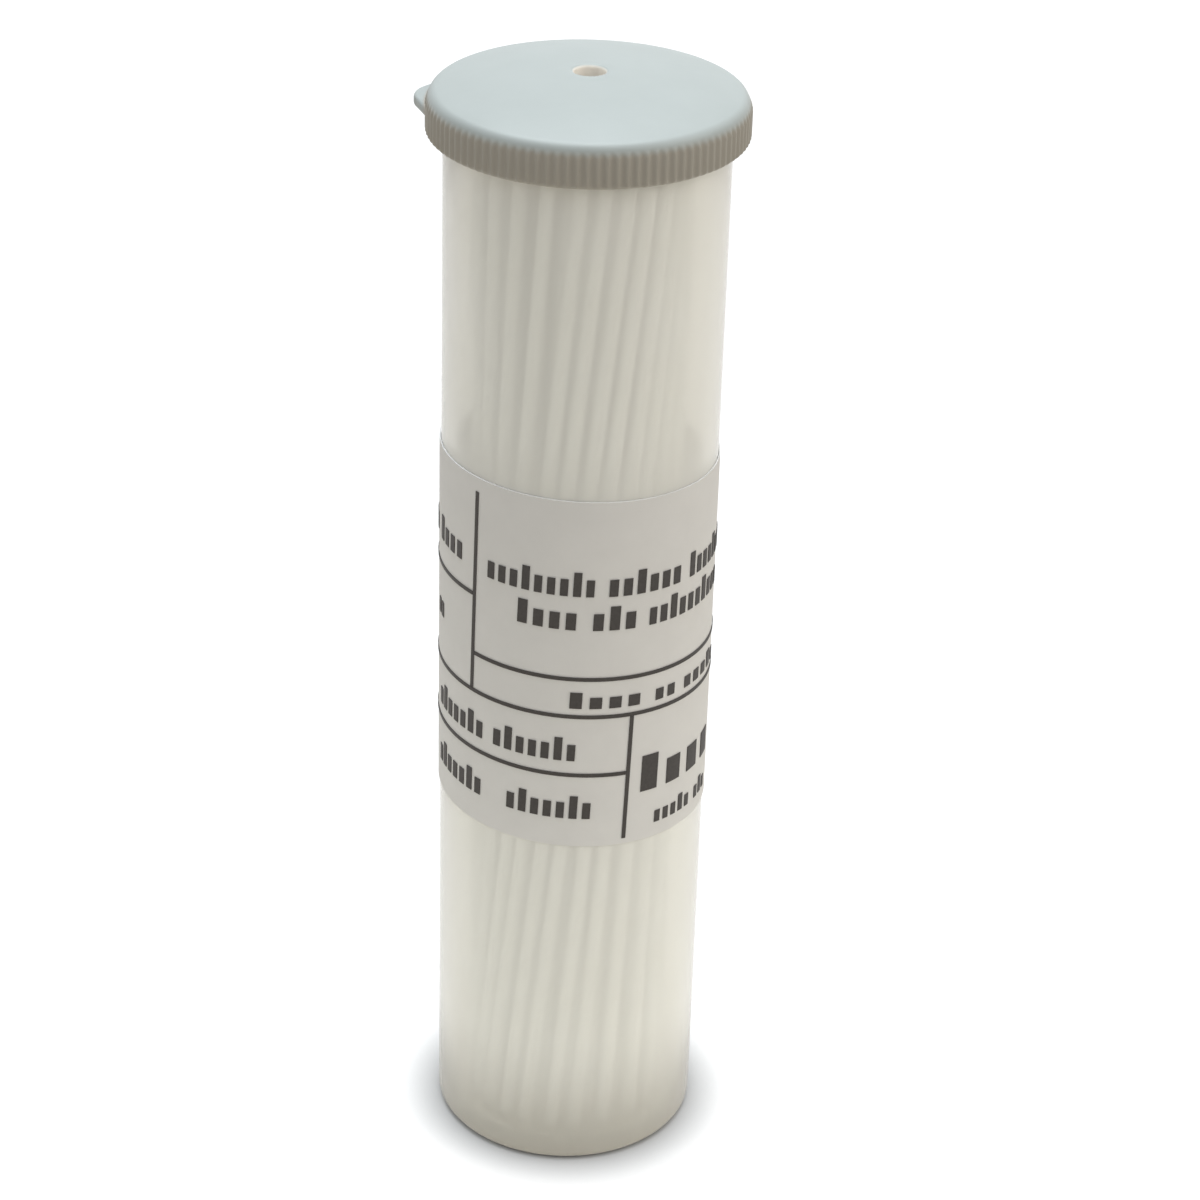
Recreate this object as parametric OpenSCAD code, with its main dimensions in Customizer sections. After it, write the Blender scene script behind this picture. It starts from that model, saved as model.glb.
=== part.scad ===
// Capped vial packed with glass capillary tubes, each fused shut at its foot.
// Origin: centre of the vial's foot. +Z up the vial, -Y towards the front of the label.

/* [Vial] */
// Outer diameter of the vial
vial_od = 20; // [16:0.5:28]
// Thickness of the vial's wall
vial_wall = 1.0; // [0.7:0.1:1.4]
// Thickness of the vial's floor
vial_floor = 1.8; // [1.2:0.1:3]
// Radius of the rounded heel round the foot
heel_r = 0.8; // [0.3:0.1:1]
// How far the bead round the mouth stands out from the wall
bead_out = 0.2; // [0.1:0.05:0.4]
// Height of the bead
bead_h = 0.9; // [0.6:0.1:1.2]
// Free height between the tubes and the cap
headspace = 0.8; // [0.8:0.1:12]

/* [Capillary tubes] */
// Outer diameter of a tube
tube_od = 1.05; // [0.8:0.05:1.8]
// Thickness of a tube's glass
tube_wall = 0.15; // [0.1:0.01:0.3]
// Length of a tube
tube_len = 80; // [66:1:100]
// Most that a cut tube is longer or shorter than that
tube_cut = 0.3; // [0:0.1:0.5]
// Free gap between neighbouring tubes, and under them
tube_gap = 0.02; // [0.01:0.01:0.06]
// Free gap between the outermost tubes and the cap's sealing ring
bundle_clear = 0.05; // [0.05:0.05:0.6]
// How far the bundle leans over to the left at its top
bundle_left = 0.25; // [0:0.05:0.5]
// Turn of the outermost front tubes between their feet and their tops, in degrees
bundle_turn = 60; // [0:1:64]

/* [Cap] */
// Thickness of the cap's skirt between its bore and the feet of its ribs
skirt_wall = 0.77; // [0.5:0.01:1.4]
// Height of the cap at its rim
cap_h = 3.2; // [2.6:0.1:5]
// Rise of the crowned top above the rim
cap_crown = 1.3; // [0.3:0.1:2]
// Thickness of the cap's top
cap_top = 1.2; // [0.8:0.1:1.6]
// Radius of the rounded edge of the top
cap_edge_r = 0.8; // [0.3:0.1:1]
// Radial clearance of the cap round the bead
cap_clear = 0.05; // [0.03:0.01:0.1]
// Number of ribs round the skirt
rib_count = 104; // [60:4:120]
// How far the ribs stand out
rib_out = 0.18; // [0.1:0.02:0.24]
// Diameter of the dispensing hole
hole_d = 2.2; // [1.6:0.1:4]
// Depth of the sealing ring inside the mouth
seal_h = 1.6; // [1:0.1:2.4]
// Thickness of the sealing ring
seal_wall = 0.7; // [0.5:0.05:1]
// How far the thumb tab reaches past the ribs
tab_reach = 1.0; // [0.6:0.1:2]
// Width of the thumb tab where it leaves the skirt
tab_w = 7.4; // [6:0.2:10]
// Thickness of the thumb tab
tab_h = 0.8; // [0.5:0.1:1.2]
// Drop of the tab's upper face below the cap's top
tab_drop = 1.2; // [0.9:0.1:1.6]
// Direction of the thumb tab, in degrees from +X
tab_dir = 171; // [150:1:210]

/* [Label] */
// Height of the label
label_h = 28.2; // [18:0.2:32]
// Height of the label's middle above the foot
label_mid = 43.2; // [36:0.2:46]
// Thickness of the paper
label_t = 0.1; // [0.06:0.01:0.2]
// Glue between the paper and the vial
glue_t = 0.02; // [0.01:0.01:0.05]
// Open strip of vial between the label's two ends
label_open = 3; // [1:0.5:6]
// How far askew the label is stuck, in degrees
label_askew = 2.2; // [0:0.1:4]
// Thickness of the print
print_t = 0.04; // [0.03:0.01:0.08]
// Width of the ruled lines
rule_w = 0.3; // [0.2:0.05:0.5]
// Free gap between a ruled line's end and the line that it meets
rule_gap = 0.03; // [0.02:0.01:0.1]

/* [Hidden] */
lot_count = 20;
function lot_name(n) = str("capillary_lot_", n < 10 ? "0" : "", n);
$fn = 96;

vial_r = vial_od / 2;
bore_r = vial_r - vial_wall;
vial_h = vial_floor + tube_len + headspace;
bead_r = vial_r + bead_out;

// How far a cut runs past the faces that it opens
over = 1;

module disc_ring(r_out, r_in, h) {
    difference() {
        cylinder(r = r_out, h = h);
        translate([0, 0, -over]) cylinder(r = r_in, h = h + 2 * over);
    }
}

// ---- vial: flat foot with a rounded heel, straight wall, snap bead at the mouth
bead_slope = 0.2;

module vial_heel() {
    cylinder(r = vial_r - heel_r, h = 2 * heel_r);
    translate([0, 0, heel_r])
        rotate_extrude() translate([vial_r - heel_r, 0]) circle(r = heel_r);
}

module vial_bead() {
    root_r = vial_r - vial_wall / 2;
    translate([0, 0, vial_h - bead_h]) rotate_extrude() polygon([
        [root_r, 0], [vial_r, 0], [bead_r, bead_slope],
        [bead_r, bead_h - bead_slope], [vial_r, bead_h], [root_r, bead_h]
    ]);
}

module vial() {
    color([0.90, 0.89, 0.85, 0.45]) difference() {
        union() {
            vial_heel();
            translate([0, 0, heel_r]) cylinder(r = vial_r, h = vial_h - heel_r);
            vial_bead();
        }
        translate([0, 0, vial_floor]) cylinder(r = bore_r, h = vial_h);
    }
}

// ---- cap: snaps over the bead, rests on the mouth, seals inside it with a short ring
seat_z = cap_h - cap_top;
cap_z = vial_h - seat_z;
skirt_bore_r = bead_r + cap_clear;
rib_root_r = skirt_bore_r + skirt_wall;
cap_r = rib_root_r + rib_out;
seal_r = bore_r - cap_clear;

rib_pitch = 360 / rib_count;
// Share of its pitch that a rib fills at its foot, and of its foot at its crest
rib_share = 0.62;
rib_foot_w = rib_share * rib_pitch * PI / 180 * rib_root_r;
rib_crest_w = rib_share * rib_foot_w;
rib_sunk = 0.1;

// The crown is part of a sphere, and the rounded edge is tangent to it
edge_x = rib_root_r - cap_edge_r;
crown_r = (pow(edge_x, 2) + pow(cap_crown, 2)) / (2 * cap_crown);
crown_z = cap_h + cap_crown - crown_r;
edge_z = crown_z + sqrt(pow(crown_r - cap_edge_r, 2) - pow(edge_x, 2));

module crown(inset, r) {
    intersection() {
        translate([0, 0, crown_z]) sphere(r = crown_r - inset);
        cylinder(r = r, h = cap_h + cap_crown);
    }
}

module cap_blank() {
    cylinder(r = rib_root_r, h = edge_z);
    crown(0, edge_x * crown_r / (crown_r - cap_edge_r));
    translate([0, 0, edge_z])
        rotate_extrude() translate([edge_x, 0]) circle(r = cap_edge_r);
}

module rib() {
    linear_extrude(edge_z) polygon([
        [rib_root_r - rib_sunk, -rib_foot_w / 2], [cap_r, -rib_crest_w / 2],
        [cap_r, rib_crest_w / 2], [rib_root_r - rib_sunk, rib_foot_w / 2]
    ]);
}

// Round nose with two straight flanks, tangent to the nose, running back to the skirt
tab_nose_r = 2.2;
tab_tip = cap_r + tab_reach;
tab_nose_x = tab_tip - tab_nose_r;
tab_root_x = sqrt(pow(rib_root_r, 2) - pow(tab_w / 2, 2));
tab_flank_a = atan2(tab_w / 2, tab_root_x - tab_nose_x)
    - acos(tab_nose_r / norm([tab_root_x - tab_nose_x, tab_w / 2]));
tab_flank = tab_nose_r * [cos(tab_flank_a), sin(tab_flank_a)];

module thumb_tab() {
    sunk_x = (skirt_bore_r + rib_root_r) / 2;
    rotate(tab_dir) translate([0, 0, cap_h - tab_drop - tab_h]) intersection() {
        linear_extrude(tab_h) union() {
            translate([tab_nose_x, 0]) circle(r = tab_nose_r);
            polygon([
                [tab_root_x, tab_w / 2], [tab_nose_x + tab_flank[0], tab_flank[1]],
                [tab_nose_x + tab_flank[0], -tab_flank[1]], [tab_root_x, -tab_w / 2],
                [0, -tab_w / 2], [0, tab_w / 2]
            ]);
        }
        disc_ring(tab_tip + over, sunk_x, tab_h);
    }
}

module cap() {
    color([0.86, 0.89, 0.88]) translate([0, 0, cap_z]) difference() {
        union() {
            cap_blank();
            for (i = [0:rib_count - 1]) rotate(i * rib_pitch) rib();
            thumb_tab();
        }
        difference() {
            translate([0, 0, -over]) cylinder(r = skirt_bore_r, h = over + seat_z);
            translate([0, 0, seat_z - seal_h])
                disc_ring(seal_r, seal_r - seal_wall, seal_h + over);
        }
        crown(cap_top, seal_r - seal_wall);
        translate([0, 0, -over]) cylinder(d = hole_d, h = cap_h + cap_crown + 2 * over);
    }
}

// ---- label: one sheet wrapped round the vial, cut square and stuck a little askew
label_r = vial_r + glue_t + label_t;
label_reach = 4;
// Brings the start of the rings round to the open strip at the back
seam_turn = 90;

// Places a shape drawn in the label's own upright frame, front at -Y
module on_label() {
    translate([0, 0, label_mid]) rotate([0, label_askew, 0]) children();
}

module label() {
    color([0.80, 0.80, 0.79]) intersection() {
        rotate(seam_turn) disc_ring(label_r, vial_r + glue_t, vial_h);
        on_label() difference() {
            translate([0, 0, -label_h / 2]) cylinder(r = label_r + label_reach, h = label_h);
            translate([-label_open / 2, 0, -label_h])
                cube([label_open, label_r + 2 * label_reach, 2 * label_h]);
        }
    }
}

// ---- print: a ruled form whose rows hold plain blocks in place of letters.
// Places are [across, up] from the middle of the label's front, drawn for a label this high.
drawn_h = 28.2;
print_scale = label_h / drawn_h;
form_left = -18.2;
form_right = 18.2;
form_top = 13.2;
form_foot = -13.8;
side_column = -8.2;
mark_column = 4.5;
title_foot = 0;
origin_foot = -3.1;
batch_foot = -8;
side_rule = 4.8;

// [left, right, up] of the level rules, and [across, foot, top] of the upright ones
level_rules = [
    [form_left, side_column, side_rule], [side_column, form_right, title_foot],
    [form_left, form_right, origin_foot], [form_left, mark_column, batch_foot]
];
upright_rules = [[side_column, origin_foot, form_top], [mark_column, form_foot, origin_foot]];

// [left, baseline, letters, letter height, step from letter to letter]
print_rows = [
    [-17.2, 6.9, 8, 1.9, 0.98],
    [-13.9, 0.6, 2, 1.7, 0.8],
    [-7.0, 6.7, 9, 1.9, 0.93], [2.1, 6.7, 6, 1.9, 1.06], [9.2, 6.7, 8, 1.9, 0.93],
    [-4.4, 4.0, 4, 1.9, 1.18], [1.1, 4.0, 3, 1.9, 1.2], [5.4, 4.0, 10, 1.9, 0.95],
    [-0.2, -2.4, 4, 1.3, 1.45], [6.4, -2.4, 2, 1.3, 1.1], [9.3, -2.4, 5, 1.3, 1.2],
    [-13.2, -6.8, 7, 1.9, 0.94], [-5.9, -6.8, 7, 1.9, 0.96],
    [-13.2, -11.7, 7, 1.9, 0.94], [-4.5, -11.7, 7, 1.9, 0.96],
    [5.6, -9.9, 4, 3.0, 2.3],
    [7.0, -12.9, 5, 1.4, 0.8], [11.6, -12.9, 3, 1.4, 0.8]
];
block_w = 0.62;
block_low = 0.7;
tall_every = 4;

print_depth = 2 * label_reach;
// Every line ends this far short of the middle of the line that it meets
rule_stop = rule_w / 2 + rule_gap;

function label_turn(across) = across / label_r * 180 / PI;

// A patch w wide and h high, the middle of its foot at [across, up], standing out of the label
module patch(across, up, w, h) {
    rotate(label_turn(across)) translate([-w / 2, -label_r - label_reach, up])
        cube([w, print_depth, h]);
}

module level_rule(left, right, up) {
    start = left * print_scale + rule_stop;
    long = (right - left) * print_scale - 2 * rule_stop;
    rotate(label_turn(start) - 90) rotate_extrude(angle = label_turn(long))
        translate([label_r - label_reach, up * print_scale - rule_w / 2])
        square([print_depth, rule_w]);
}

module upright_rule(across, foot, top) {
    long = (top - foot) * print_scale - 2 * rule_stop;
    patch(across * print_scale, foot * print_scale + rule_stop, rule_w, long);
}

module print_row(left, baseline, letters, height, step) {
    for (i = [0:letters - 1]) {
        middle = left + (i + block_w / 2) * step;
        tall = (i + letters) % tall_every == 0;
        patch(middle * print_scale, baseline * print_scale, block_w * step * print_scale,
              (tall ? height : block_low * height) * print_scale);
    }
}

module label_print() {
    print_r = label_r + glue_t;
    color([0.18, 0.16, 0.15]) intersection() {
        rotate(seam_turn) disc_ring(print_r + print_t, print_r, vial_h);
        on_label() {
            for (rule = level_rules) level_rule(rule[0], rule[1], rule[2]);
            for (rule = upright_rules) upright_rule(rule[0], rule[1], rule[2]);
            for (row = print_rows) print_row(row[0], row[1], row[2], row[3], row[4]);
        }
    }
}

// ---- capillary tubes: they stand in round layers, one inside the other. Every tube is straight. A
// layer is turned between foot and top, in full at the front and not at all at the back, so its
// tubes lean, and halfway up its front draws in.
tube_r = tube_od / 2;
tube_step = tube_od + tube_gap;
bundle_r = seal_r - seal_wall - bundle_clear - bundle_left;
rise = tube_len - tube_r;
lean_max = atan((2 * bundle_r * sin(bundle_turn / 2) + bundle_left) / rise);

// Each layer keeps this share of the turn of the layer round it
turn_kept = 0.65;
// How many of the outer layers are loose, the share of such a layer that its tubes fill, and the
// most that one of them strays from the layer's turn, in degrees
loose_layers = 2;
loose_fill = 0.85;
loose_stray = 5;
layer_seed = 7;
cut_seed = 11;

function layer_turn(n) = bundle_turn * pow(turn_kept, n);
function layer_stray(n) = n < loose_layers ? loose_stray : 0;
function layer_r(n) = n == 0 ? bundle_r - tube_r
    : (waist(n - 1) - tube_step) / cos(layer_turn(n) / 2);
function waist(n) = layer_r(n) * cos((layer_turn(n) + layer_stray(n)) / 2);

// Least angle between two tubes of a layer: they clear each other halfway up, and at the sides,
// where the turn crowds them at one end
function clear_angle(r) = 2 * asin(tube_step / 2 / r / cos(lean_max));
function crowding(n) = layer_turn(n) * PI / 180 / 4;
function layer_step(n) = max(clear_angle(waist(n)), clear_angle(layer_r(n)) / (1 - crowding(n)));
function layer_count(n) = floor((n < loose_layers ? loose_fill : 1) * 360 / layer_step(n));

// Angles round a layer, with its free room shared out unevenly between the tubes
function total(shares) = shares * [for (share = shares) 1];
function spread(n, seed) =
    let (count = layer_count(n), shares = rands(0, 1, count, seed),
         room = (360 - count * layer_step(n)) / total(shares))
    [for (i = 0, a = 0; i < count; a = a + layer_step(n) + room * shares[i], i = i + 1) a];

// The place at radius r and angle a, moved round by a swing that is full at the front, at -Y
function swung(r, a, swing) = let (b = a + swing * (1 - sin(a)) / 2) r * [cos(b), sin(b)];

// [foot, top] of each tube of a layer
function layer_sites(n) =
    let (r = layer_r(n), swing = layer_turn(n) / 2, stray = layer_stray(n),
         feet = spread(n, layer_seed + 2 * n), tops = spread(n, layer_seed + 2 * n + 1))
    [for (i = [0:len(feet) - 1])
        let (strayed = max(-stray, min(stray, tops[i] - feet[i])))
        [swung(r, feet[i], -swing), swung(r, feet[i] + strayed, swing)]];

layers = [for (n = 0; waist(n) * cos(lean_max) > tube_step / 2; n = n + 1) n];
middle = waist(len(layers) - 1) > tube_step ? [[[0, 0], [0, 0]]] : [];
sites = concat([for (n = layers) each layer_sites(n)], middle);
cuts = rands(-tube_cut, tube_cut, len(sites), cut_seed);

// A tube from its foot on the vial's floor towards its place at the top
module capillary(site, length) {
    run = site[1] - [bundle_left, 0] - site[0];
    straight = length - tube_r;
    translate([site[0][0], site[0][1], vial_floor + tube_gap + tube_r])
        rotate([0, atan2(norm(run), rise), atan2(run[1], run[0])]) difference() {
            union() {
                sphere(r = tube_r, $fn = 24);
                cylinder(r = tube_r, h = straight, $fn = 24);
            }
            sphere(r = tube_r - tube_wall, $fn = 24);
            cylinder(r = tube_r - tube_wall, h = straight + over, $fn = 24);
        }
}

// The tubes shared out, layer after layer, into lots of about the same count
module capillary_lot(n) {
    first = floor((n - 1) * len(sites) / lot_count);
    last = floor(n * len(sites) / lot_count) - 1;
    color([0.80, 0.88, 0.90, 0.6])
        for (i = [first:last]) capillary(sites[i], tube_len + cuts[i]);
}

vial();
cap();
label();
label_print();
for (n = [1:lot_count]) {
    capillary_lot(n);
}
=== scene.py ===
"""A milky plastic vial of glass capillary tubes, with a ribbed snap cap and a ruled paper label.

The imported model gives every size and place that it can. All lengths are in metres.
"""

import math

import bmesh
import bpy
from mathutils import Matrix, Vector


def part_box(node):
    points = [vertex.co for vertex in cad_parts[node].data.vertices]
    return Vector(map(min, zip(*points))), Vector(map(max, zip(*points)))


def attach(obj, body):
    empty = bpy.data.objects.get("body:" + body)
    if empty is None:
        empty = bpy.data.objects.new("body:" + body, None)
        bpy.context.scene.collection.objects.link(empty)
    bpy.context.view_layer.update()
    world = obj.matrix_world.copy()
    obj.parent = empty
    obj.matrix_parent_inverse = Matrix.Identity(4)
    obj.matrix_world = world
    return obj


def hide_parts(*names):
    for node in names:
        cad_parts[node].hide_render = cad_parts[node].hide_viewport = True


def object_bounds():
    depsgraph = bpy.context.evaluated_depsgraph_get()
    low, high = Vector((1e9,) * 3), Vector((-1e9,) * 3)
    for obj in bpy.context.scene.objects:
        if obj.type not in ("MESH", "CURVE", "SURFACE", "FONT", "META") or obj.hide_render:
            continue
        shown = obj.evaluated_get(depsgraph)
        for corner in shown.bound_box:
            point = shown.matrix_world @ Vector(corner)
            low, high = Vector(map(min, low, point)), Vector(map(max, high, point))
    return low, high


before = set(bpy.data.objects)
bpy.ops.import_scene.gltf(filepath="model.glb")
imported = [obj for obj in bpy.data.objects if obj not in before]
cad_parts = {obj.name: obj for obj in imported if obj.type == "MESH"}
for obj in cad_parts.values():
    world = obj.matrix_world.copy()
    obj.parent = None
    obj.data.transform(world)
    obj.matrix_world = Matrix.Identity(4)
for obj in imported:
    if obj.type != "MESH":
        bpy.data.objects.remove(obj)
cad_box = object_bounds()

# ---------------------------------------------------------------------------------------------
# Studio: a white sweep under a wide, slightly cool sky, with warm light from the horizon and
# from the floor round the vial. The camera stands a little above the cap and looks down.

MM = 0.001
CAMERA_PLACE = Vector((0, -207.5, 156.5)) * MM
CAMERA_LENS = 95.7
CAMERA_DOWN = 28.42
CAMERA_TURN = -0.49
CAMERA_ROLL = 1.74

turn = Matrix.Rotation(math.radians(CAMERA_TURN), 4, "Z")
tilt = Matrix.Rotation(math.radians(90 - CAMERA_DOWN), 4, "X")
roll = Matrix.Rotation(math.radians(CAMERA_ROLL), 4, "Z")
bpy.ops.object.camera_add()
camera = bpy.context.object
camera.matrix_world = Matrix.Translation(CAMERA_PLACE) @ turn @ tilt @ roll
camera.data.lens = CAMERA_LENS
camera.data.clip_start = 10 * MM
bpy.context.scene.camera = camera
bpy.context.scene.view_settings.view_transform = "Standard"
# Light that has gone through many walls of glass and plastic is traced in full, not blurred
bpy.context.scene.cycles.blur_glossy = 0.0


def linear(hex_colour):
    """The linear RGBA of an sRGB hex colour such as "#d0d4d1"."""
    parts = [int(hex_colour[i:i + 2], 16) / 255 for i in (1, 3, 5)]
    return (*[c / 12.92 if c <= 0.04045 else ((c + 0.055) / 1.055) ** 2.4 for c in parts], 1)


def add(tree, kind, settings=None, **sockets):
    """Adds a node with its settings. A socket is named with _ for a space, or by its number as
    in s0, and takes a value or another node's output."""
    node = tree.nodes.new("ShaderNode" + kind)
    for name, value in (settings or {}).items():
        setattr(node, name, value)
    for name, value in sockets.items():
        key = int(name[1:]) if name[1:].isdigit() else name.replace("_", " ")
        if isinstance(value, bpy.types.NodeSocket):
            tree.links.new(value, node.inputs[key])
        else:
            node.inputs[key].default_value = value
    return node


def any_ray(tree, *kinds):
    """1 for rays of any of these kinds, such as "Camera" for those that go to the eye."""
    path = add(tree, "LightPath").outputs
    found = path[f"Is {kinds[0]} Ray"]
    for kind in kinds[1:]:
        found = add(tree, "Math", {"operation": "MAXIMUM"},
                    s0=found, s1=path[f"Is {kind} Ray"]).outputs[0]
    return found


# The sky lights the objects, but the eye, reflections and light that goes through glass or
# plastic see a plain white backdrop in its place
SKY_STRENGTH = 1.0
WHITE_STRENGTH = 1.0
world = bpy.data.worlds.new("studio_sky")
bpy.context.scene.world = world
world.use_nodes = True
sky = world.node_tree
sky.nodes.clear()
upward = add(sky, "SeparateXYZ", Vector=add(sky, "TexCoord").outputs["Generated"])
shade = add(sky, "ValToRGB", Fac=upward.outputs["Z"])
shade.color_ramp.elements[0].color = linear("#8c7862")
shade.color_ramp.elements[1].position = 0.8
shade.color_ramp.elements[1].color = linear("#eff6fb")
lit = add(sky, "Background", Color=shade.outputs["Color"], Strength=SKY_STRENGTH)
white = add(sky, "Background", Color=(1, 1, 1, 1), Strength=WHITE_STRENGTH)
backdrop = any_ray(sky, "Camera", "Glossy", "Transmission")
mixed = add(sky, "MixShader", s0=backdrop, s1=lit.outputs[0], s2=white.outputs[0])
add(sky, "OutputWorld", Surface=mixed.outputs[0])

# The floor bounces warm light that fades away from the vial. The eye sees it white, with the
# vial's shadow and a soft contact shadow, and light through the foot sees it white as well,
# brown and dark where it lies right under the vial.
FLOOR_SIDE = 6.0
FLOOR_WHITE = 1.05
POOL_START = 20 * MM
POOL_REACH = 250 * MM
CONTACT_REACH = 3.5 * MM
CONTACT_DEPTH = 2.0
CONTACT_SHARE = 0.7
FOOT_REACH = 9 * MM
AO_SAMPLES = 8
bpy.ops.mesh.primitive_plane_add(size=FLOOR_SIDE, location=(0, 0, 0))
floor = bpy.context.object
floor.name = "floor"
sweep = bpy.data.materials.new("white_studio_sweep")
sweep.use_nodes = True
tree = sweep.node_tree
tree.nodes.clear()
away = add(tree, "VectorMath", {"operation": "LENGTH"}, s0=add(tree, "TexCoord").outputs["Object"])
edge = add(tree, "MapRange", Value=away.outputs["Value"],
           From_Min=POOL_START, From_Max=POOL_REACH)
pool = add(tree, "Mix", {"data_type": "RGBA"}, s0=edge.outputs[0],
           s6=linear("#f9f3e5"), s7=linear("#7c7162"))
warm = add(tree, "BsdfDiffuse", Color=pool.outputs[2])
near = add(tree, "AmbientOcclusion", {"samples": AO_SAMPLES}, Distance=CONTACT_REACH)
contact = add(tree, "Math", {"operation": "POWER"}, s0=near.outputs["AO"], s1=CONTACT_DEPTH)
plain = add(tree, "BsdfDiffuse", Color=(FLOOR_WHITE, FLOOR_WHITE, FLOOR_WHITE, 1))
soft = add(tree, "Emission", Color=contact.outputs[0], Strength=WHITE_STRENGTH)
bright = add(tree, "MixShader", s0=CONTACT_SHARE, s1=plain.outputs[0], s2=soft.outputs[0])
shaded = add(tree, "MixShader", s0=any_ray(tree, "Camera"),
             s1=warm.outputs[0], s2=bright.outputs[0])
wide = add(tree, "AmbientOcclusion", {"samples": AO_SAMPLES}, Distance=FOOT_REACH)
under = add(tree, "Mix", {"data_type": "RGBA"}, s0=wide.outputs["AO"],
            s6=linear("#332c20"), s7=(1, 1, 1, 1))
white = add(tree, "Emission", Color=under.outputs[2], Strength=WHITE_STRENGTH)
mixed = add(tree, "MixShader", s0=any_ray(tree, "Glossy", "Transmission"),
            s1=shaded.outputs[0], s2=white.outputs[0])
add(tree, "OutputMaterial", Surface=mixed.outputs[0])
floor.data.materials.append(sweep)


def softbox(name, place, side, watts, colour):
    """A square lamp that faces the middle of the vial."""
    bpy.ops.object.light_add(type="AREA", location=place)
    lamp = bpy.context.object
    lamp.name = name
    lamp.data.size = side
    lamp.data.energy = watts
    lamp.data.color = linear(colour)[:3]
    middle = (cad_box[0] + cad_box[1]) / 2
    lamp.rotation_euler = (middle - Vector(place)).to_track_quat("-Z", "Y").to_euler()


softbox("overhead_softbox", (-0.03, 0.12, 0.60), 0.4, 3.0, "#eff6fb")
softbox("side_key", (0.46, -0.12, 0.40), 0.4, 0.9, "#fff6ea")

# ---------------------------------------------------------------------------------------------
# Vial: natural polypropylene, injection moulded as one piece with a thick floor, a rounded
# heel and a small snap bead round the mouth. Its foot is dished, with the nub of the gate.

VIAL_SIDES = 144
BEAD_OUT = 0.2 * MM
BEAD_HEIGHT = 0.9 * MM
BEAD_SLOPE = 0.2 * MM
VIAL_WALL = 1.0 * MM
VIAL_FLOOR = 1.8 * MM
HEEL = 0.8 * MM
FOOT_RECESS = 0.25 * MM
FOOT_RECESS_R = 7.6 * MM
FOOT_SHADE = 12 * MM
GATE_R = 0.9 * MM
GATE_NUB = 0.12 * MM
INNER_FILLET = 0.3 * MM
LIP = 0.15 * MM

vial_low, vial_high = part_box("vial")
mouth_z = vial_high.z
vial_r = vial_high.x - BEAD_OUT
bore_r = vial_r - VIAL_WALL


def arc(across, up, radius, start, end, steps):
    """Rings of a rounded corner about [across, up]: 0 degrees points outwards, 90 upwards."""
    angles = [math.radians(start + (end - start) * i / steps) for i in range(steps + 1)]
    return [(across + radius * math.cos(a), up + radius * math.sin(a)) for a in angles]


def start_ring(name, ring, sides):
    """A new piece that begins as one circle, selected in edit mode."""
    bpy.ops.object.select_all(action="DESELECT")
    bpy.ops.mesh.primitive_circle_add(vertices=sides, radius=ring[0], location=(0, 0, ring[1]))
    piece = bpy.context.object
    piece.name = piece.data.name = name
    bpy.ops.object.transform_apply(location=True, rotation=True, scale=True)
    bpy.ops.object.mode_set(mode="EDIT")
    bpy.ops.mesh.select_all(action="SELECT")
    return piece


def draw_rings(rings):
    """Draws the selected rim on through (radius, height) rings, as a lathe would turn them."""
    for (r0, z0), (r1, z1) in zip(rings, rings[1:]):
        bpy.ops.mesh.extrude_region_move(TRANSFORM_OT_translate={"value": (0, 0, z1 - z0)})
        bpy.ops.transform.resize(value=(r1 / r0, r1 / r0, 1), center_override=(0, 0, 0))


MERGE = 0.002 * MM


def finish_shell(piece, smooth_angle):
    """Merges what lies together, turns the faces outwards and smooths the round stretches."""
    bpy.ops.mesh.select_all(action="SELECT")
    bpy.ops.mesh.remove_doubles(threshold=MERGE)
    bpy.ops.mesh.normals_make_consistent(inside=False)
    bpy.ops.object.mode_set(mode="OBJECT")
    bpy.ops.object.shade_smooth_by_angle(angle=math.radians(smooth_angle))
    return piece


bead_foot = mouth_z - BEAD_HEIGHT
rings = [(GATE_R / 2, FOOT_RECESS - GATE_NUB), (0.9 * GATE_R, FOOT_RECESS - GATE_NUB)]
rings += [(GATE_R, FOOT_RECESS), (FOOT_RECESS_R, FOOT_RECESS)]
rings += [(FOOT_RECESS_R + FOOT_RECESS, 0.0), (vial_r - HEEL, 0.0)]
rings += arc(vial_r - HEEL, HEEL, HEEL, -90, 0, 8)[1:]
rings += [(vial_r, mouth_z * i / 12) for i in range(1, 12)]
rings += [(vial_r, bead_foot), (vial_r + BEAD_OUT, bead_foot + BEAD_SLOPE)]
rings += [(vial_r + BEAD_OUT, mouth_z - BEAD_SLOPE)]
rings += arc(vial_r - LIP, mouth_z - LIP, LIP, 0, 90, 3)
rings += arc(bore_r + LIP, mouth_z - LIP, LIP, 90, 180, 3)
rings += [(bore_r, mouth_z * i / 12) for i in range(11, 0, -1)]
rings += arc(bore_r - INNER_FILLET, VIAL_FLOOR + INNER_FILLET, INNER_FILLET, 0, -90, 4)
rings += [(0.5 * MM, VIAL_FLOOR)]

vial = start_ring("vial_shell", rings[0], VIAL_SIDES)
draw_rings(rings)
bpy.ops.mesh.edge_face_add()
bpy.ops.mesh.select_all(action="SELECT")
bpy.ops.mesh.region_to_loop()
bpy.ops.mesh.edge_face_add()
finish_shell(vial, 40)

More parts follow.
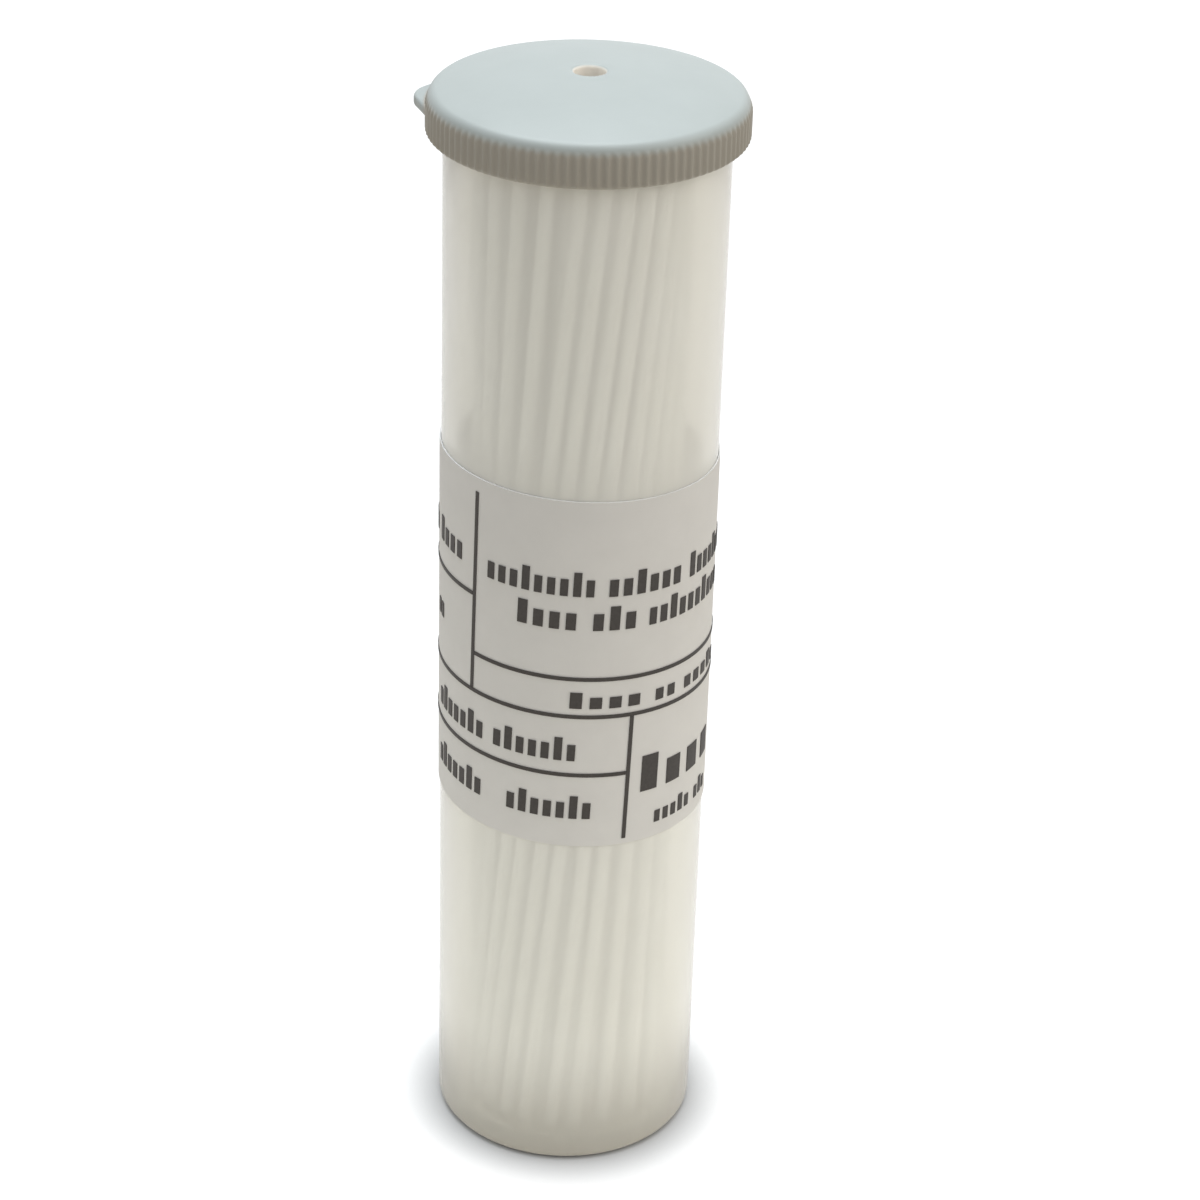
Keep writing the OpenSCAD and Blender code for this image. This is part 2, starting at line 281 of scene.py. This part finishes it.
# Natural polypropylene is milky: most of the light scatters at once in its skin, the rest goes
# through blurred. Slow clouds in the milk and a faint spark texture show that it is moulded.
# Towards the foot the colour is painted darker and yellower: painted shade where less light gets
# in.
milky = bpy.data.materials.new("natural_polypropylene_moulded")
milky.use_nodes = True
tree = milky.node_tree
tree.nodes.clear()
place = add(tree, "TexCoord").outputs["Object"]
haze = add(tree, "TexNoise", Vector=place, Scale=1 / (6 * MM), Detail=3.0)
tint = add(tree, "Mix", {"data_type": "RGBA"}, s0=haze.outputs[0],
           s6=linear("#fdfcf4"), s7=linear("#fffef9"))
height = add(tree, "SeparateXYZ", Vector=place).outputs["Z"]
# Painted shade: the plastic's colour is painted darker and yellower towards the foot
painted_foot_shade_then_paper_solidify = add(tree, "MapRange", {"interpolation_type": "SMOOTHSTEP"}, Value=height,
            From_Min=FOOT_SHADE, From_Max=0.0)
tint = add(tree, "Mix", {"data_type": "RGBA"}, s0=painted_foot_shade_then_paper_solidify.outputs[0],
           s6=tint.outputs[2], s7=linear("#cecbc3"))
grain = add(tree, "TexNoise", Vector=place, Scale=1 / (0.4 * MM), Detail=2.0)
relief = add(tree, "Bump", Height=grain.outputs[0], Strength=0.08, Distance=0.02 * MM)
plastic = add(tree, "BsdfPrincipled", Base_Color=tint.outputs[2], Roughness=0.1, IOR=1.49,
              Normal=relief.outputs[0])
plastic.inputs["Transmission Weight"].default_value = 0.36
add(tree, "OutputMaterial", Surface=plastic.outputs[0])
vial.data.materials.append(milky)

# The core pin of the mould is polished, so the bore is clear and adds no milk of its own
polished = bpy.data.materials.new("polypropylene_polished_bore")
polished.use_nodes = True
tree = polished.node_tree
tree.nodes.clear()
bore = add(tree, "BsdfPrincipled", Base_Color=linear("#fffef9"), Roughness=0.08, IOR=1.49)
bore.inputs["Transmission Weight"].default_value = 1.0
add(tree, "OutputMaterial", Surface=bore.outputs[0])
vial.data.materials.append(polished)
CORE_REACH = 0.01 * MM
for face in vial.data.polygons:
    in_bore = face.center.xy.length < bore_r + CORE_REACH
    if in_bore and face.center.z > VIAL_FLOOR - CORE_REACH:
        face.material_index = 1
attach(vial, "vial")
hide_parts("vial")

# ---------------------------------------------------------------------------------------------
# Capillary tubes: drawn soda-lime glass, cut to length and each fused shut at its foot. They
# stand loose in the vial, in layers that lean round together in a slack twist.

# Drawn glass is clear, with faint lines along its length. A hundred walls and bores, one behind
# the other, scatter about half of the light, so through the milky plastic they read as white.
glass = bpy.data.materials.new("soda_lime_glass_drawn")
glass.use_nodes = True
tree = glass.node_tree
tree.nodes.clear()
place = add(tree, "TexCoord").outputs["Object"]
drawn = add(tree, "Mapping", Vector=place, Scale=(1, 1, 0.01)).outputs[0]
lines = add(tree, "TexNoise", Vector=drawn, Scale=1 / (0.08 * MM), Detail=2.0)
tint = add(tree, "Mix", {"data_type": "RGBA"}, s0=lines.outputs[0],
           s6=linear("#fafefb"), s7=linear("#ffffff"))
relief = add(tree, "Bump", Height=lines.outputs[0], Strength=0.1, Distance=0.005 * MM)
clear = add(tree, "BsdfPrincipled", Base_Color=tint.outputs[2], Roughness=0.2, IOR=1.51,
            Normal=relief.outputs[0])
clear.inputs["Transmission Weight"].default_value = 0.5
add(tree, "OutputMaterial", Surface=clear.outputs[0])
for name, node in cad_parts.items():
    if name.startswith("capillary_lot"):
        node.data.materials.clear()
        node.data.materials.append(glass)

# ---------------------------------------------------------------------------------------------
# Label: one sheet of uncoated white paper, cut square, wrapped round the vial so that its ends
# almost meet at the back, and stuck a little askew.

PAPER = 0.1 * MM
GLUE = 0.02 * MM
LABEL_HEIGHT = 28.2 * MM
LABEL_MIDDLE = 43.2 * MM
LABEL_ASKEW = 2.2
LABEL_GAP = 3 * MM

glued_r = vial_r + GLUE
label_turn = Matrix.Rotation(math.radians(LABEL_ASKEW), 3, "Y")
label_up = label_turn @ Vector((0, 0, 1))
label_across = label_turn @ Vector((1, 0, 0))
label_mid = Vector((0, 0, LABEL_MIDDLE))


def select_faces(piece, wanted):
    """Selects the faces of the piece in edit mode whose middle passes the test. All are
    deselected first, because deselecting a face also takes its corners from its neighbours."""
    mesh = bmesh.from_edit_mesh(piece.data)
    for face in mesh.faces:
        face.select_set(False)
    for face in mesh.faces:
        if wanted(face.calc_center_median()):
            face.select_set(True)
    mesh.select_flush_mode()
    bmesh.update_edit_mesh(piece.data)


label_low = LABEL_MIDDLE - LABEL_HEIGHT
label = start_ring("label_sheet", (glued_r, label_low), VIAL_SIDES)
draw_rings([(glued_r, label_low), (glued_r, label_low + 2 * LABEL_HEIGHT)])
for side in (-1, 1):
    bpy.ops.mesh.select_all(action="SELECT")
    bpy.ops.mesh.bisect(plane_co=label_mid + label_up * side * LABEL_HEIGHT / 2,
                        plane_no=label_up * side, clear_outer=True, threshold=MERGE)
    select_faces(label, lambda middle: middle.y > 0)
    bpy.ops.mesh.bisect(plane_co=label_mid + label_across * side * LABEL_GAP / 2,
                        plane_no=label_across, threshold=MERGE)
select_faces(label, lambda middle: middle.y > 0
             and abs((middle - label_mid).dot(label_across)) < LABEL_GAP / 2)
bpy.ops.mesh.delete(type="FACE")
finish_shell(label, 60)
painted_foot_shade_then_paper_solidify = label.modifiers.new("paper", "SOLIDIFY")
painted_foot_shade_then_paper_solidify.thickness = PAPER
painted_foot_shade_then_paper_solidify.offset = 1
bpy.ops.object.modifier_apply(modifier=painted_foot_shade_then_paper_solidify.name)
bpy.ops.object.shade_smooth_by_angle(angle=math.radians(40))

# Uncoated paper shows no gloss: its fibres make a fine felt, and the pulp lies a little denser
# here and there, which gives faint clouds.
paper = bpy.data.materials.new("uncoated_label_paper")
paper.use_nodes = True
tree = paper.node_tree
tree.nodes.clear()
place = add(tree, "TexCoord").outputs["Object"]
cloud = add(tree, "TexNoise", Vector=place, Scale=1 / (3 * MM), Detail=4.0, Roughness=0.65)
tint = add(tree, "Mix", {"data_type": "RGBA"}, s0=cloud.outputs[0],
           s6=linear("#d1d0cf"), s7=linear("#dad9d8"))
fibre = add(tree, "TexNoise", Vector=place, Scale=1 / (0.12 * MM), Detail=3.0, Roughness=0.6)
felt = add(tree, "Bump", Height=fibre.outputs[0], Strength=0.35, Distance=0.015 * MM)
sheet = add(tree, "BsdfPrincipled", Base_Color=tint.outputs[2], Roughness=0.85,
            Normal=felt.outputs[0])
sheet.inputs["Specular IOR Level"].default_value = 0.3
add(tree, "OutputMaterial", Surface=sheet.outputs[0])
label.data.materials.append(paper)
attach(label, "vial")
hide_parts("label")

# Printed black lies on the fibres and not in them: a little denser here and thinner there over
# a fraction of a millimetre, with the felt of the paper under it, so it looks dull, not painted.
ink = bpy.data.materials.new("black_printing_ink")
ink.use_nodes = True
tree = ink.node_tree
tree.nodes.clear()
place = add(tree, "TexCoord").outputs["Object"]
patch = add(tree, "TexNoise", Vector=place, Scale=1 / (0.25 * MM), Detail=3.0, Roughness=0.6)
tint = add(tree, "Mix", {"data_type": "RGBA"}, s0=patch.outputs[0],
           s6=linear("#2c2723"), s7=linear("#443f3b"))
fibre = add(tree, "TexNoise", Vector=place, Scale=1 / (0.12 * MM), Detail=3.0, Roughness=0.6)
felt = add(tree, "Bump", Height=fibre.outputs[0], Strength=0.25, Distance=0.01 * MM)
toner = add(tree, "BsdfPrincipled", Base_Color=tint.outputs[2], Roughness=0.6,
            Normal=felt.outputs[0])
add(tree, "OutputMaterial", Surface=toner.outputs[0])
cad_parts["label_print"].data.materials.clear()
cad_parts["label_print"].data.materials.append(ink)

# ---------------------------------------------------------------------------------------------
# Cap: white polyethylene, injection moulded as one piece: a crowned top with a dispensing hole,
# a finely ribbed skirt that snaps over the bead, a thumb tab, and a sealing ring inside.

CAP_RIBS = 104
RIB_COLUMNS = 6
RIB_OUT = 0.18 * MM
RIB_FADE = 0.5 * MM
SKIRT_WALL = 0.77 * MM
CAP_HEIGHT = 3.2 * MM
CROWN_RISE = 1.3 * MM
CAP_TOP = 1.2 * MM
CAP_EDGE = 0.8 * MM
HOLE_R = 1.1 * MM
HOLE_LIP = 0.25 * MM
SEAL_HEIGHT = 1.6 * MM
SEAL_WALL = 0.7 * MM
SEAL_ROUND = 0.15 * MM
CAP_CLEAR = 0.05 * MM
SKIRT_ROUND = 0.3 * MM

cap_low, cap_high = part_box("cap")
skirt_foot = cap_low.z
rib_root_r = cap_high.y - RIB_OUT
skirt_bore_r = rib_root_r - SKIRT_WALL
seal_r = bore_r - CAP_CLEAR
seal_inner_r = seal_r - SEAL_WALL
seat_z = skirt_foot + CAP_HEIGHT - CAP_TOP
seal_tip = seat_z - SEAL_HEIGHT + SEAL_ROUND
edge_x = rib_root_r - CAP_EDGE
crown_r = (edge_x ** 2 + CROWN_RISE ** 2) / (2 * CROWN_RISE)
crown_z = skirt_foot + CAP_HEIGHT + CROWN_RISE - crown_r
edge_z = crown_z + math.sqrt((crown_r - CAP_EDGE) ** 2 - edge_x ** 2)
edge_turn = math.degrees(math.acos(edge_x / (crown_r - CAP_EDGE)))
rib_top = edge_z + RIB_FADE / 2


def crown(inset, start, end, steps):
    """Rings over the crown, or over its underside, from one radius to another."""
    radii = [start + (end - start) * i / steps for i in range(steps + 1)]
    return [(r, crown_z + math.sqrt((crown_r - inset) ** 2 - r ** 2)) for r in radii]


crown_edge = edge_x + CAP_EDGE * math.cos(math.radians(edge_turn))
rings = arc(rib_root_r - SKIRT_ROUND, skirt_foot + SKIRT_ROUND, SKIRT_ROUND, -90, 0, 5)
rings += [(rib_root_r, skirt_foot + 2 * SKIRT_ROUND), (rib_root_r, rib_top - RIB_FADE)]
rings += arc(edge_x, edge_z, CAP_EDGE, 0, edge_turn, 9)
rings += crown(0, crown_edge, HOLE_R + HOLE_LIP, 14)[1:]
rings += arc(HOLE_R + HOLE_LIP, rings[-1][1] - HOLE_LIP, HOLE_LIP, 90, 180, 4)[1:]
rings += crown(CAP_TOP, HOLE_R, seal_inner_r, 6)
rings += arc(seal_inner_r + SEAL_ROUND, seal_tip, SEAL_ROUND, 180, 270, 3)
rings += arc(seal_r - SEAL_ROUND, seal_tip, SEAL_ROUND, -90, 0, 3)
rings += [(seal_r, seat_z), (skirt_bore_r, seat_z), (skirt_bore_r, skirt_foot + SEAL_ROUND)]
rings += [(skirt_bore_r + SEAL_ROUND, skirt_foot)]

cap = start_ring("snap_cap", rings[0], CAP_RIBS * RIB_COLUMNS)
draw_rings(rings)
bpy.ops.mesh.select_all(action="SELECT")
bpy.ops.mesh.region_to_loop()
bpy.ops.mesh.bridge_edge_loops()


def select_points(piece, wanted):
    """Selects the points of the piece in edit mode whose place passes the test."""
    mesh = bmesh.from_edit_mesh(piece.data)
    for point in mesh.verts:
        point.select_set(wanted(point.co))
    mesh.select_flush_mode()
    bmesh.update_edit_mesh(piece.data)


def columns_off(place):
    """How many columns this place lies from the nearest rib's crest."""
    ribs_round = math.atan2(place.y, place.x) / (2 * math.pi) * CAP_RIBS
    return round(abs(ribs_round - round(ribs_round)) * RIB_COLUMNS)


# Each column of the skirt moves out by its share of the ribs' height, less where they fade
for column, height in enumerate((1.0, 0.75, 0.15)):
    for r, z in rings[1:12]:
        share = height * max(0, min(1, (z - skirt_foot) / SKIRT_ROUND, (rib_top - z) / RIB_FADE))
        select_points(cap, lambda place: abs(place.z - z) < 0.001 * MM
                      and place.xy.length > rib_root_r - SKIRT_ROUND
                      and columns_off(place) == column)
        grown = 1 + share * RIB_OUT / r
        bpy.ops.transform.resize(value=(grown, grown, 1), center_override=(0, 0, 0))
finish_shell(cap, 60)

TAB_REACH = 1.0 * MM
TAB_WIDTH = 7.4 * MM
TAB_THICK = 0.8 * MM
TAB_DROP = 1.2 * MM
TAB_NOSE = 2.2 * MM
TAB_ROUND = 0.25 * MM
TAB_SUNK = 0.1 * MM
TAB_DIRECTION = 171

# A triangle whose point is rounded into the nose, with its root sunk in the skirt's wall
tab_root = skirt_bore_r + TAB_SUNK
tab_top = skirt_foot + CAP_HEIGHT - TAB_DROP
nose_x = cap_high.y + TAB_REACH - TAB_NOSE
flank_root = Vector((math.sqrt(rib_root_r ** 2 - (TAB_WIDTH / 2) ** 2) - nose_x, TAB_WIDTH / 2))
flank_turn = (math.atan2(flank_root.y, flank_root.x)
              - math.acos(TAB_NOSE / flank_root.length))
point_x = nose_x + TAB_NOSE / math.cos(flank_turn)
root_half = ((TAB_NOSE + (nose_x - tab_root) * math.cos(flank_turn)) / math.sin(flank_turn))
reach = (point_x - tab_root) / 1.5

bpy.ops.object.select_all(action="DESELECT")
bpy.ops.mesh.primitive_circle_add(vertices=3, radius=reach, fill_type="NGON",
                                  location=(tab_root + reach / 2, 0, tab_top - TAB_THICK),
                                  rotation=(0, 0, math.radians(-90)))
tab = bpy.context.object
tab.scale.x = root_half / (reach * math.cos(math.radians(30)))
bpy.ops.object.transform_apply(location=True, rotation=True, scale=True)
bpy.ops.object.mode_set(mode="EDIT")
select_points(tab, lambda place: place.x > nose_x + TAB_NOSE)
bpy.ops.mesh.bevel(offset=TAB_NOSE * math.tan(flank_turn), segments=10, affect="VERTICES")
bpy.ops.mesh.select_all(action="SELECT")
bpy.ops.mesh.extrude_region_move(TRANSFORM_OT_translate={"value": (0, 0, TAB_THICK)})
bpy.ops.mesh.select_all(action="DESELECT")
bpy.ops.mesh.edges_select_sharp(sharpness=math.radians(50))
bpy.ops.mesh.bevel(offset=TAB_ROUND, segments=4)
finish_shell(tab, 60)
tab.rotation_euler.z = math.radians(TAB_DIRECTION)
bpy.ops.object.transform_apply(rotation=True)
cap.select_set(True)
bpy.context.view_layer.objects.active = cap
bpy.ops.object.join()

# White polyethylene straight from the mould is waxy and matt, with slow clouds in the pigment and
# a fine spark texture. The skirt below the rounded edge is painted darker and warmer as painted
# shade, and the bore of the hole is painted lighter as painted light through its thin edge.
white_pe = bpy.data.materials.new("white_polyethylene_moulded")
white_pe.use_nodes = True
tree = white_pe.node_tree
tree.nodes.clear()
place = add(tree, "TexCoord").outputs["Object"]
cloud = add(tree, "TexNoise", Vector=place, Scale=1 / (4 * MM), Detail=4.0, Roughness=0.6)
tint = add(tree, "Mix", {"data_type": "RGBA"}, s0=cloud.outputs[0],
           s6=linear("#989e9c"), s7=linear("#a0a6a4"))
height = add(tree, "SeparateXYZ", Vector=place).outputs["Z"]
level = add(tree, "VectorMath", {"operation": "MULTIPLY"}, s0=place, s1=(1, 1, 0))
across = add(tree, "VectorMath", {"operation": "LENGTH"}, s0=level.outputs[0]).outputs["Value"]
# Painted shade: the skirt and all below the rounded edge are painted darker and warmer
below = add(tree, "MapRange", {"interpolation_type": "SMOOTHSTEP"}, Value=height,
            From_Min=edge_z + CAP_EDGE / 2, From_Max=edge_z - CAP_EDGE / 4)
on_rim = add(tree, "MapRange", Value=across,
             From_Min=cap_high.y + 0.2 * MM, From_Max=cap_high.y)
painted_skirt_shade = add(tree, "Math", {"operation": "MULTIPLY"}, s0=below.outputs[0], s1=on_rim.outputs[0])
tint = add(tree, "Mix", {"data_type": "RGBA"}, s0=painted_skirt_shade.outputs[0],
           s6=tint.outputs[2], s7=linear("#9a958b"))
# Painted light: the bore of the hole is painted lighter, as if lit through its thin edge
painted_hole_glow = add(tree, "MapRange", Value=across, From_Min=HOLE_R + HOLE_LIP / 2, From_Max=HOLE_R)
tint = add(tree, "Mix", {"data_type": "RGBA"}, s0=painted_hole_glow.outputs[0],
           s6=tint.outputs[2], s7=linear("#f2ebe0"))
spark = add(tree, "TexNoise", Vector=place, Scale=1 / (0.15 * MM), Detail=3.0, Roughness=0.6)
relief = add(tree, "Bump", Height=spark.outputs[0], Strength=0.3, Distance=0.012 * MM)
skin = add(tree, "BsdfPrincipled", Base_Color=tint.outputs[2], Roughness=0.45, IOR=1.51,
           Normal=relief.outputs[0])
add(tree, "OutputMaterial", Surface=skin.outputs[0])
cap.data.materials.append(white_pe)
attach(cap, "cap")
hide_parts("cap")
